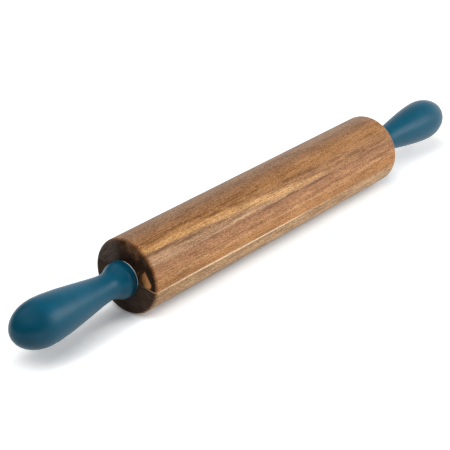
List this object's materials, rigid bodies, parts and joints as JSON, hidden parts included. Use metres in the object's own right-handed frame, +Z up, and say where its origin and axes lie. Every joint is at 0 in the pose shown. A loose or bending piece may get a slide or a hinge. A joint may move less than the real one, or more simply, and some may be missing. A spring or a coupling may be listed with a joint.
{
  "type": "rolling pin",
  "caption": "Wooden rolling pin with a glued-up barrel that spins on a steel axle between painted bulb-ended handles.",
  "frame": {"origin": "on the surface that the pin rests on, straight under the middle of the pin", "axes": "+X along the pin's axis from the near handle to the far handle, +Z up, +Y level and square to both; the pin's axis is the line y = 0 at half the barrel's height"},
  "size_m": [0.4938, 0.0548, 0.0549],
  "materials": {
    "upper_wood": "golden brown open-grained hardwood, oiled, satin",
    "front_wood": "reddish brown open-grained hardwood, oiled, satin",
    "lower_wood": "olive tan open-grained hardwood, oiled, satin",
    "back_wood": "dark brown open-grained hardwood, oiled, satin",
    "painted_wood": "opaque petrol blue satin paint over turned hardwood",
    "nylon": "natural white nylon, matte",
    "axle_steel": "drawn steel rod, bright",
    "insert_brass": "machined brass"
  },
  "bodies": {
    "barrel": {"upper_stave": "upper_wood", "front_stave": "front_wood", "lower_stave": "lower_wood", "back_stave": "back_wood", "near_bush": "nylon", "far_bush": "nylon"},
    "handles": {"axle_rod": "axle_steel", "near_washer": "nylon", "far_washer": "nylon", "near_insert": "insert_brass", "far_insert": "insert_brass", "near_handle": "painted_wood", "far_handle": "painted_wood"}
  },
  "joints": [
    {"name": "handle_spin", "type": "hinge", "parent": "barrel", "child": "handles", "pos_m": [0, 0, 0.02744], "axis": [1, 0, 0], "continuous": true}
  ]
}
